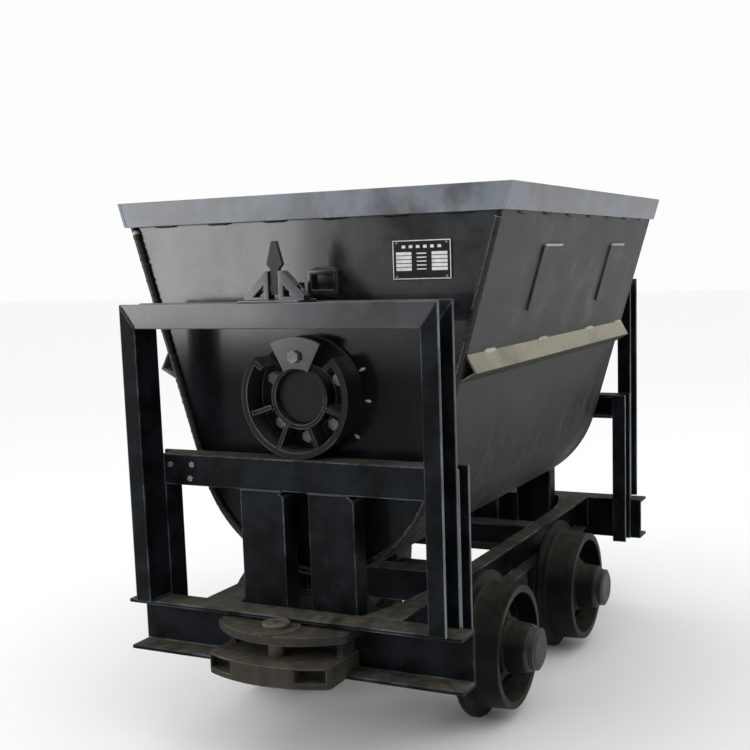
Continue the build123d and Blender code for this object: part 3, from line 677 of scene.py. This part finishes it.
# ------------------------------------------------------------------ tub
@dataclass
class Tub:
    """The tipping body: wrapper, end plates, rim, stiffeners, pads, keepers and hand loops."""

    wall_angle: float = 16.5      # degrees
    corner_bead: float = 8.0 * MM
    stitch_bead: float = 5.0 * MM
    tack_bead: float = 6.0 * MM
    tack_length: float = 62 * MM
    tack_places: tuple[float, ...] = (0.79, 0.20, -0.44, -0.92)   # share of the half length
    wall_thick: float = 6 * MM
    weld_sink: float = 1 * MM      # how deep a bead sits in its seat
    end_stitch: tuple[float, float] = (60 * MM, 90 * MM)     # length and gap
    side_stitch: tuple[float, float] = (55 * MM, 110 * MM)
    side_stitch_end: float = 20 * MM   # from the end plate's face
    rim_weld_out: float = 6 * MM   # from the end plate, into the gap behind the rim bar, where the dark beads double as painted shadow dashes
    rim_corner: float = 34 * MM    # free of stitches at the rim's corners
    pad_top: float = 4 * MM        # depth of the pads' top edge, with its rounding
    pad_corner: float = 12 * MM
    pad_bead: float = 3.6 * MM
    loop_corner: float = 6 * MM
    loop_weld_gap: float = 1.5 * MM
    corner_out: float = 5 * MM     # from the end plate to the corner bead's middle
    corner_inset: float = 3 * MM
    corner_drop: float = 58 * MM   # from the rim's top to the corner bead's start
    corner_tack: float = 0.05      # share of the wall's height
    arc_steps: int = 24

    def __post_init__(self) -> None:
        """Reads the tub's section from the CAD model."""
        lo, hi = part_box("tub_end_front")
        self.face = hi.x
        self.lean = math.radians(self.wall_angle)
        self.top = Vector((0, hi.y, hi.z))
        distance = hi.y * math.cos(self.lean) - hi.z * math.sin(self.lean)
        self.centre_z = (distance + lo.z) / (1 - math.sin(self.lean))
        self.radius = self.centre_z - lo.z

    def build(self) -> None:
        """Builds and dresses every piece of the tub."""
        self._plates()
        self._rim()
        self._stiffeners()
        self._small_parts()
        self._corner_welds()

    def wall_y(self, z: float) -> float:
        """How far out the wrapper's outer face stands at a height."""
        return self.top.y + self.wall_thick - (self.top.z - z) * math.tan(self.lean)

    def section(self, x: float, inset: float, drop: float = 0.0) -> list[Vector]:
        """The line inside the wrapper's corner, from one rim round the belly to the other.

        Args:
            x: Where along the cart the line lies.
            inset: How far it lies inside the wrapper.
            drop: How far below the rim it starts.

        Returns:
            Points along the line.
        """
        out = Vector((0, math.cos(self.lean), -math.sin(self.lean)))
        down = Vector((0, -math.sin(self.lean), -math.cos(self.lean)))
        start = self.top - out * inset + down * drop
        step = (180 - 2 * self.wall_angle) / self.arc_steps
        angles = [-self.wall_angle - i * step for i in range(self.arc_steps + 1)]
        reach = self.radius - inset
        centre = Vector((0, 0, self.centre_z))
        arc = [centre + reach * Vector((0, math.cos(math.radians(a)), math.sin(math.radians(a))))
               for a in angles]
        line = [start, *arc, Vector((0, -start.y, start.z))]
        return [Vector((x, p.y, p.z)) for p in line]

    def _plates(self) -> None:
        """Wrapper and end plates, scoured inside."""
        middle = Vector((0, 0, self.centre_z + 0.1))

        def inside_wrapper(centre: Vector, normal: Vector) -> bool:
            """Tells the wrapper's inner faces."""
            inward = Vector((0, -centre.y, middle.z - centre.z if centre.z < self.centre_z else 0))
            return normal.dot(inward.normalized()) > 0.3

        dress("tub_shell", SIDE_ENAMEL, 1.2, SCOURED_STEEL, inside_wrapper)
        for end in End:
            sign = end.value
            dress(f"tub_end_{low(end)}", END_ENAMEL, 0, SCOURED_STEEL, lambda c, n, s=sign: n.x * s < -0.3)

    def _rim(self) -> None:
        """Rim bars and angles, with stitch welds under them. The dark beads under the end bars also stand in
        for the shadow dashes in the gap there: painted shadow.
        """
        for node in ("rim_sides", "rim_ends"):
            dress(node, RIM_ENAMEL, 1.6)
        lines = []
        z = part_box("rim_ends")[0].z + self.weld_sink
        y = self.top.y - self.rim_corner
        # Dark beads in the gap under the end bars: welds, and painted shadow dashes as well.
        for end in End:
            x = end.value * (self.face + self.rim_weld_out)
            lines += stitch(Vector((x, -y, z)), Vector((x, y, z)), *self.end_stitch)
        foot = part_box("rim_sides")[0].z - self.weld_sink
        y = self.wall_y(foot) + 2 * self.weld_sink
        x = self.face - self.side_stitch_end
        for side in Side:
            ends = [Vector((sign * x, side.value * y, foot)) for sign in (1, -1)]
            lines += stitch(*ends, *self.side_stitch)
        beads("rim_stitch_welds", lines, self.stitch_bead, "tub")

    def _stiffeners(self) -> None:
        """Side angles, with pale tacks along their upper toes."""
        lines = []
        for side in Side:
            node = f"side_stiffener_{low(side)}"
            dress(node, LEDGE_ENAMEL, 1.6)
            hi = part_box(node)[1]
            y = side.value * (self.wall_y(hi.z) + self.weld_sink)
            for share in self.tack_places:
                ends = (share * hi.x - self.tack_length / 2, share * hi.x + self.tack_length / 2)
                lines.append([Vector((x, y, hi.z - self.weld_sink)) for x in ends])
        beads("stiffener_tacks", lines, self.tack_bead, "tub", TACK_METAL)

    def _small_parts(self) -> None:
        """Pads, keepers and hand loops."""
        dress("wall_pads", SIDE_ENAMEL, 1.6)
        dress("latch_keepers", END_ENAMEL, 1.2)
        dress("end_loops", BAR_ENAMEL, 2.2)
        self._pad_welds()
        lines = []
        lo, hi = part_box("end_loops")
        for end in End:
            x = end.value * (self.face + self.loop_weld_gap)
            for z in (lo.z - self.weld_sink, hi.z + self.weld_sink):
                lines.append([Vector((x, lo.y + self.loop_corner, z)),
                              Vector((x, hi.y - self.loop_corner, z))])
        beads("loop_welds", lines, self.stitch_bead, "tub")

    def _pad_welds(self) -> None:
        """Stitch welds over the pads' top edges, made pale as a painted highlight of the lit top edge."""
        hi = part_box("wall_pads")[1]
        shape = cad_shape("wall_pads")
        tops = sorted({(round(v.co.x, 4), round(v.co.y, 4)) for v in shape.verts
                       if v.co.z > hi.z - self.pad_top})
        shape.free()
        lines = []
        for side in Side:
            xs = sorted({x for x, y in tops if y * side.value > 0})
            ys = sorted({abs(y) for x, y in tops if y * side.value > 0})
            for start, end in zip(xs[::2], xs[1::2]):
                y = side.value * (ys[0] + 2 * self.weld_sink)
                z = hi.z + self.weld_sink
                lines.append([Vector((start + self.pad_corner, y, z)), Vector((end - self.pad_corner, y, z))])
        # The pale tack finish here stands in for the light on the pads' top edges: a painted highlight.
        beads("pad_welds", lines, self.pad_bead, "tub", TACK_METAL)

    def _corner_welds(self) -> None:
        """The beads in the corner between each end plate and the wrapper."""
        lines = []
        for end in End:
            x = end.value * (self.face + self.corner_out)
            lines.append(self.section(x, self.corner_inset, self.corner_drop))
        beads("corner_welds", lines, self.corner_bead, "tub")
        tacks = [[run[0], run[0].lerp(run[1], self.corner_tack)]
                 for line in lines for run in (line[:2], line[:-3:-1])]
        beads("corner_tacks", tacks, self.corner_bead, "tub", TACK_METAL)


@dataclass
class RatingPlate:
    """The blank rating plate: black tin, a pale border, pale empty fields and four rivets."""

    border: float = 1.8 * MM
    margin: float = 5.0 * MM
    print_height: float = 0.4 * MM
    rivet: float = 2.6 * MM
    column_width: float = 0.26    # share of the plate's width
    rows: int = 5

    def build(self) -> None:
        """Builds and dresses the plate."""
        dress("rating_plate", PLATE_BLACK, 0.5)
        lo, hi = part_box("rating_plate")
        x0, x1 = hi.x - 0.1 * MM, hi.x + self.print_height
        work = bmesh.new()
        self._border(work, lo, hi, x0, x1)
        self._fields(work, lo, hi, x0, x1)
        new_piece("rating_plate_print", work, "tub", [PLATE_WHITE])
        rivets = bmesh.new()
        for y in (lo.y + 2.2 * self.margin, hi.y - 2.2 * self.margin):
            for z in (lo.z + 1.4 * self.margin, hi.z - 1.4 * self.margin):
                lay_disc(rivets, Vector((x0, y, z)), Vector((1, 0, 0)), self.rivet, 1.5 * MM, 16, 1.0 * MM)
        new_piece("rating_plate_rivets", rivets, "tub", [BOLT_STEEL])

    def _border(self, work: BMesh, lo: Vector, hi: Vector, x0: float, x1: float) -> None:
        """The pale border, as four strips.

        Args:
            work: The mesh that gets them.
            lo: The plate's lowest corner.
            hi: Its highest corner.
            x0: Where the print starts.
            x1: Where it ends.
        """
        y0, y1, z0, z1 = lo.y + self.border, hi.y - self.border, lo.z + self.border, hi.z - self.border
        for a, b, c, d in ((y0, y1, z1 - self.border, z1), (y0, y1, z0, z0 + self.border),
                           (y0, y0 + self.border, z0 + self.border, z1 - self.border),
                           (y1 - self.border, y1, z0 + self.border, z1 - self.border)):
            lay_block(work, Vector((x0, a, c)), Vector((x1, b, d)))

    def _fields(self, work: BMesh, lo: Vector, hi: Vector, x0: float, x1: float) -> None:
        """A table of empty fields: two wide columns, and a narrow one between them.

        Args:
            work: The mesh that gets them.
            lo: The plate's lowest corner.
            hi: Its highest corner.
            x0: Where the print starts.
            x1: Where it ends.
        """
        width, height = hi.y - lo.y, hi.z - lo.z
        top, foot = hi.z - 0.30 * height, lo.z + 0.22 * height
        pitch = (top - foot) / self.rows
        columns = ((0.20, self.column_width, 0.80), (0.50, 0.16, 0.30), (0.80, self.column_width, 0.80))
        for centre, share, fill in columns:
            for row in range(self.rows):
                y = lo.y + centre * width
                z = foot + pitch * (row + 0.5)
                half = Vector((0, share * width / 2, fill * pitch / 2))
                middle = Vector((x0, y, z))
                lay_block(work, middle - half, middle + half + Vector((x1 - x0, 0, 0)))
        for index in range(6):
            y = lo.y + (0.2 + 0.12 * index) * width
            z = hi.z - 0.18 * height
            lay_block(work, Vector((x0, y - 4 * MM, z - 3 * MM)), Vector((x1, y + 4 * MM, z + 3 * MM)))


# ------------------------------------------------------------------ rolling gear
@dataclass
class RollingGear:
    """Cast rings, cap plates, trunnion caps, bolts and washers."""

    bolt_circle: float = 90 * MM
    bolt_angles: tuple[float, ...] = (65, 132, 180, 228, 295)   # degrees round from the top
    washer: float = 15 * MM
    base: float = 12 * MM          # thickness of the ring's base disc
    tack_angles: tuple[float, ...] = (66, 93, 128, 232, 266, 294)
    tack_circle: tuple[float, float] = (137 * MM, 151 * MM)

    def build(self) -> None:
        """Builds and dresses the rolling gear of both ends."""
        for end in End:
            dress(f"rolling_ring_{low(end)}", RING_IRON, 1.6)
        dress("ring_cap_plates", BAR_ENAMEL, 1.2)
        dress("ring_bolts", BOLT_STEEL, 1.0)
        dress("trunnion_caps", RING_IRON, 1.2)
        self._washers()
        self._tacks()

    def _place(self, end: End, angle: float, reach: float, depth: float) -> Vector:
        """A point round a ring's axis, on or in front of the end plate.

        Args:
            end: The cart's end.
            angle: Degrees round from the top.
            reach: Distance from the axis.
            depth: Distance in front of the end plate.

        Returns:
            The point.
        """
        lo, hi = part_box(f"rolling_ring_{low(end)}")
        turn = math.radians(90 + angle)
        face = lo.x if end is End.FRONT else hi.x
        centre_z = (lo.z + hi.z) / 2
        return Vector((face + end.value * depth, reach * math.cos(turn), centre_z + reach * math.sin(turn)))

    def _washers(self) -> None:
        """A washer under each bolt head on a ring's base disc."""
        work = bmesh.new()
        for end in End:
            for angle in self.bolt_angles:
                seat = self._place(end, angle, self.bolt_circle, self.base)
                lay_disc(work, seat, Vector((end.value, 0, 0)), self.washer, 2.5 * MM, 28, 0.6 * MM)
        new_piece("ring_washers", work, "tub", [BOLT_STEEL])

    def _tacks(self) -> None:
        """Short tack welds on the end plate, round the ring's base."""
        lines = [[self._place(end, angle, reach, 1 * MM) for reach in self.tack_circle]
                 for end in End for angle in self.tack_angles]
        beads("ring_tacks", lines, 3.6 * MM, "tub", TACK_METAL)


# ------------------------------------------------------------------ end frames
@dataclass
class EndFrame:
    """One end's portal: posts, top bar, rolling rail, rail posts, centre posts and their welds."""

    end: End
    bead: float = 3.6 * MM
    bolt: float = 7 * MM
    lip: float = 3 * MM
    foot_start: float = 12 * MM    # behind the post's front face
    foot_end: float = 6 * MM       # in front of the rolling rail
    centre_width: float = 112 * MM
    centre_corner: float = 18 * MM

    def build(self) -> None:
        """Builds and dresses the portal."""
        name = low(self.end)
        for side in Side:
            self._post(f"portal_post_{name}_{low(side)}", side, 2.2)
            self._post(f"rail_post_{name}_{low(side)}", side, 2.0)
        dress(f"top_bar_{name}", BAR_ENAMEL, 2.2)
        dress(f"rolling_rail_{name}", FRAME_ENAMEL, 1.8)
        dress(f"centre_posts_{name}", FRAME_ENAMEL, 2.0)
        self._welds()
        self._bolts()

    def _post(self, node: str, side: Side, edge_mm: float) -> None:
        """A channel post whose outer lips are painted paler than the rest, as a painted highlight.

        Args:
            node: The CAD node.
            side: The cart's side that it stands on.
            edge_mm: The width of its broken edges in millimetres.
        """
        lo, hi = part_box(node)
        outside = hi.y if side is Side.LEFT else -lo.y

        def is_lip(centre: Vector, normal: Vector) -> bool:
            """Tells the faces at the post's outer lips."""
            return centre.y * side.value > outside - self.lip and normal.y * side.value > 0.3

        # The lips take a paler finish: a painted highlight.
        dress(node, FRAME_ENAMEL, edge_mm, LIP_PAINTED_HIGHLIGHT, is_lip)

    def _welds(self) -> None:
        """Beads where the portal's members meet."""
        name, sign = low(self.end), self.end.value
        rail_lo, rail_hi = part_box(f"rolling_rail_{name}")
        post_lo, post_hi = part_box(f"portal_post_{name}_left")
        centre_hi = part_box(f"centre_posts_{name}")[1]
        plane = rail_hi.x if sign > 0 else rail_lo.x
        front = post_hi.x if sign > 0 else post_lo.x
        x = plane + sign * 1.5 * MM
        lines = []
        for side in Side:
            y = side.value * rail_hi.y
            lines.append([Vector((x, y, rail_lo.z + 3 * MM)), Vector((x, y, rail_hi.z - 3 * MM))])
            inner, outer = side.value * post_lo.y, side.value * post_hi.y
            foot = post_lo.z + 1.5 * MM
            lines.append([Vector((front - sign * self.foot_start, inner, foot)),
                          Vector((plane + sign * self.foot_end, inner, foot))])
            corner = Vector((front + sign * 0.3 * MM, outer, post_hi.z))
            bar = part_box(f"top_bar_{name}")[0].z
            lines.append([corner + Vector((0, -side.value * 3 * MM, -3 * MM)),
                          Vector((front + sign * 0.3 * MM, inner, bar + 1 * MM))])
            top = centre_hi.z - 0.5 * MM
            lines.append([Vector((x, side.value * (centre_hi.y - self.centre_width), top)),
                          Vector((x, side.value * (centre_hi.y - self.centre_corner), top))])
        beads(f"portal_welds_{name}", lines, self.bead, "root")

    def _bolts(self) -> None:
        """Small bolt heads that pin one end of the rolling rail to its post."""
        name, sign = low(self.end), self.end.value
        lo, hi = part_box(f"rolling_rail_{name}")
        x = hi.x if sign > 0 else lo.x
        work = bmesh.new()
        for y, z in ((18 * MM, 24 * MM), (78 * MM, 22 * MM), (72 * MM, 54 * MM)):
            seat = Vector((x, -sign * (hi.y - y), hi.z - z))
            lay_disc(work, seat, Vector((sign, 0, 0)), self.bolt, 5 * MM, 6, 1.2 * MM, spin=y * 90)
        new_piece(f"rail_bolts_{name}", work, "root", [BOLT_STEEL])


# ------------------------------------------------------------------ chassis
@dataclass
class Chassis:
    """End sills, chassis rails, cross members, gussets, axles, saddles and their welds and bolts."""

    bead: float = 4.0 * MM
    saddle_bolt: float = 11 * MM
    saddle_pad: float = 14 * MM

    def build(self) -> None:
        """Builds and dresses the chassis."""
        for end in End:
            dress(f"end_sill_{low(end)}", FRAME_ENAMEL, 2.2)
            dress(f"axle_{low(end)}", FORGED_STEEL, 1.0)
        for side in Side:
            dress(f"chassis_rail_{low(side)}", FRAME_ENAMEL, 2.0)
        for node in ("cross_members", "corner_gussets"):
            dress(node, FRAME_ENAMEL, 1.6)
        dress("axle_saddles", WHEEL_STEEL, 2.4)
        paint("axle_nuts", BOLT_STEEL)
        self._welds()
        self._saddle_bolts()

    def _welds(self) -> None:
        """Beads where the rails meet the sills, one on each side of each rail."""
        rail_lo, rail_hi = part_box("chassis_rail_left")
        sill_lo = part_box("end_sill_front")[0]
        lines = []
        for end in End:
            x = end.value * (sill_lo.x - 1.5 * MM)
            for side in Side:
                y0, y1 = side.value * rail_lo.y, side.value * rail_hi.y
                lines.append([Vector((x, y1, rail_lo.z + 8 * MM)), Vector((x, y1, rail_hi.z - 2 * MM))])
                lines.append([Vector((x, y0, rail_lo.z + 8 * MM)), Vector((x, y0, rail_hi.z - 12 * MM))])
        beads("chassis_welds", lines, self.bead, "root")

    def _saddle_bolts(self) -> None:
        """Bolts up through each saddle's pad."""
        work = bmesh.new()
        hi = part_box("axle_saddles")[1]
        axle_lo, axle_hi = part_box("axle_front")
        rail_lo, rail_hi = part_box("chassis_rail_left")
        centre_y = (rail_lo.y + rail_hi.y) / 2
        seat_z = rail_lo.z - self.saddle_pad
        for end in End:
            axle_x = end.value * (axle_lo.x + axle_hi.x) / 2
            for side in Side:
                for shift in (-1, 1):
                    x = axle_x + shift * (hi.x - axle_hi.x + self.saddle_pad)
                    seat = Vector((x, side.value * centre_y, seat_z))
                    lay_disc(work, seat, Vector((0, 0, -1)), self.saddle_bolt, 8 * MM, 6, 1.2 * MM)
        new_piece("saddle_bolts", work, "root", [BOLT_STEEL])


@dataclass
class Coupler:
    """One end's bumper casting and its pin."""

    end: End

    def build(self) -> None:
        """Builds and dresses the coupler."""
        name = low(self.end)
        dress(f"bumper_{name}", BUMPER_STEEL, 2.6)
        dress(f"coupling_pin_{name}", FORGED_STEEL, 0.8)


@dataclass
class Latches:
    """The latch brackets, pivots and levers."""

    bead: float = 3.0 * MM
    bead_ends: tuple[float, float] = (3 * MM, 11 * MM)   # from the top bar's edges

    def build(self) -> None:
        """Builds and dresses the latches."""
        dress("latch_brackets", BAR_ENAMEL, 1.4)
        dress("latch_pivots", BOLT_STEEL, 1.2)
        for end in End:
            dress(f"latch_lever_{low(end)}", CAP_STEEL, 1.6)
        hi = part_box("latch_brackets")[1]
        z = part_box("top_bar_front")[1].z + 1 * MM
        near, far = self.bead_ends
        lines = []
        for end in End:
            bar_lo, bar_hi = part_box(f"top_bar_{low(end)}")
            for side in Side:
                y = side.value * (hi.y + 1 * MM)
                lines.append([Vector((bar_lo.x + near, y, z)), Vector((bar_lo.x + far, y, z))])
                lines.append([Vector((bar_hi.x - far, y, z)), Vector((bar_hi.x - near, y, z))])
        beads("latch_welds", lines, self.bead, "root")


@dataclass
class Wheelset:
    """One wheel with its hub cap and bearings."""

    end: End
    side: Side

    def build(self) -> None:
        """Builds and dresses the wheel."""
        name = f"{low(self.end)}_{low(self.side)}"
        dress(f"wheel_{name}", WHEEL_STEEL, 2.4)
        dress(f"hub_cap_{name}", CAP_STEEL, 0)
        paint(f"wheel_bearings_{name}", BEARING_STEEL)


# ------------------------------------------------------------------ studio
@dataclass
class Studio:
    """Pale floor, soft panels of light and the camera."""

    floor_size: float = 60.0
    azimuth: float = 116.4        # degrees round from the -Y side
    elevation: float = 7.8
    roll: float = -1.79
    lens: float = 56.16
    station: tuple[float, float, float] = (2.8207, 1.3014, 1.1011)
    shift: tuple[float, float] = (-0.0201, 0.0603)
    horizon_glow: float = 0.06
    zenith_glow: float = 1.8

    def build(self) -> None:
        """Builds the floor, the lights, the surroundings and the camera."""
        self._floor()
        self._world()
        self._panel("key_panel", (3.45, -2.95, 1.6), (0.6, -0.1, 1.0), 2.3, 1.9, 5.0)
        self._panel("side_panel", (-2.6, 4.6, 2.6), (0, 0, 0.8), 3.0, 2.0, 2.0)
        self._camera()
        bpy.context.scene.view_settings.view_transform = "Standard"

    def _floor(self) -> None:
        """A plain pale floor."""
        work = bmesh.new()
        bmesh.ops.create_grid(work, x_segments=1, y_segments=1, size=self.floor_size / 2)
        mesh = bpy.data.meshes.new("floor")
        work.to_mesh(mesh)
        work.free()
        floor = bpy.data.objects.new("floor", mesh)
        bpy.context.scene.collection.objects.link(floor)
        material = bpy.data.materials.new("pale_studio_floor")
        material.use_nodes = True
        shader = material.node_tree.nodes["Principled BSDF"]
        shader.inputs["Base Color"].default_value = linear("#f3f3f3")
        shader.inputs["Roughness"].default_value = 0.9
        shader.inputs["Specular IOR Level"].default_value = 0.1
        mesh.materials.append(material)

    def _world(self) -> None:
        """Dim soft surroundings that read as a pale backdrop."""
        world = bpy.data.worlds.new("studio")
        bpy.context.scene.world = world
        world.use_nodes = True
        tree = world.node_tree
        tree.nodes.clear()
        seen = add(tree, "ShaderNodeLightPath")
        backdrop = add(tree, "ShaderNodeBackground", {"Color": linear("#fdfdfd"), "Strength": 1.0})
        place = add(tree, "ShaderNodeTexCoord")
        height = add(tree, "ShaderNodeSeparateXYZ", {0: place.outputs["Object"]})
        strength = add(tree, "ShaderNodeMapRange", {0: height.outputs["Z"], 1: 0.0, 2: 1.0,
                                                    3: self.horizon_glow, 4: self.zenith_glow})
        glow = add(tree, "ShaderNodeBackground", {
            "Color": linear("#f0f0f0"), "Strength": strength.outputs[0]})
        both = add(tree, "ShaderNodeMixShader", {0: seen.outputs["Is Camera Ray"], 1: glow.outputs[0],
                                                 2: backdrop.outputs[0]})
        add(tree, "ShaderNodeOutputWorld", {"Surface": both.outputs[0]})

    def _panel(self, name: str, place: tuple[float, ...], target: tuple[float, ...],
               width: float, height: float, glow: float) -> None:
        """Hangs one soft panel of light.

        Args:
            name: The light's name.
            place: Its middle.
            target: The point that it faces.
            width: Its width in metres.
            height: Its height in metres.
            glow: How bright its face is.
        """
        data = bpy.data.lights.new(name, "AREA")
        data.shape = "RECTANGLE"
        data.size, data.size_y = width, height
        data.energy = math.pi * width * height * glow
        light = bpy.data.objects.new(name, data)
        light.location = place
        light.rotation_euler = (Vector(target) - Vector(place)).to_track_quat("-Z", "Y").to_euler()
        bpy.context.scene.collection.objects.link(light)

    def _camera(self) -> None:
        """The camera, at eye height off the cart's front left corner."""
        data = bpy.data.cameras.new("camera")
        data.lens = self.lens
        data.sensor_width = 36.0
        data.shift_x, data.shift_y = self.shift
        camera = bpy.data.objects.new("camera", data)
        a, e, r = (math.radians(v) for v in (self.azimuth, self.elevation, self.roll))
        back = Vector((math.sin(a) * math.cos(e), -math.cos(a) * math.cos(e), math.sin(e)))
        level = Vector((math.cos(a), math.sin(a), 0))
        up = back.cross(level)
        right = level * math.cos(r) + up * math.sin(r)
        top = -level * math.sin(r) + up * math.cos(r)
        turn = Matrix((right, top, back)).transposed().to_4x4()
        camera.matrix_world = Matrix.Translation(self.station) @ turn
        bpy.context.scene.collection.objects.link(camera)
        bpy.context.scene.camera = camera


def main() -> None:
    """Builds the cart's sub-assemblies in order, then the studio."""
    logging.basicConfig(level=logging.INFO, format="%(name)s: %(message)s")
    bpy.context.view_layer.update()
    assemblies = [
        Tub(), RatingPlate(), RollingGear(), *(EndFrame(end) for end in End), Chassis(),
        *(Coupler(end) for end in End), Latches(), *(Wheelset(end, side) for end in End for side in Side),
    ]
    for assembly in assemblies:
        assembly.build()
        log.info("built %s", assembly)
    Studio().build()


if __name__ == "__main__":
    main()
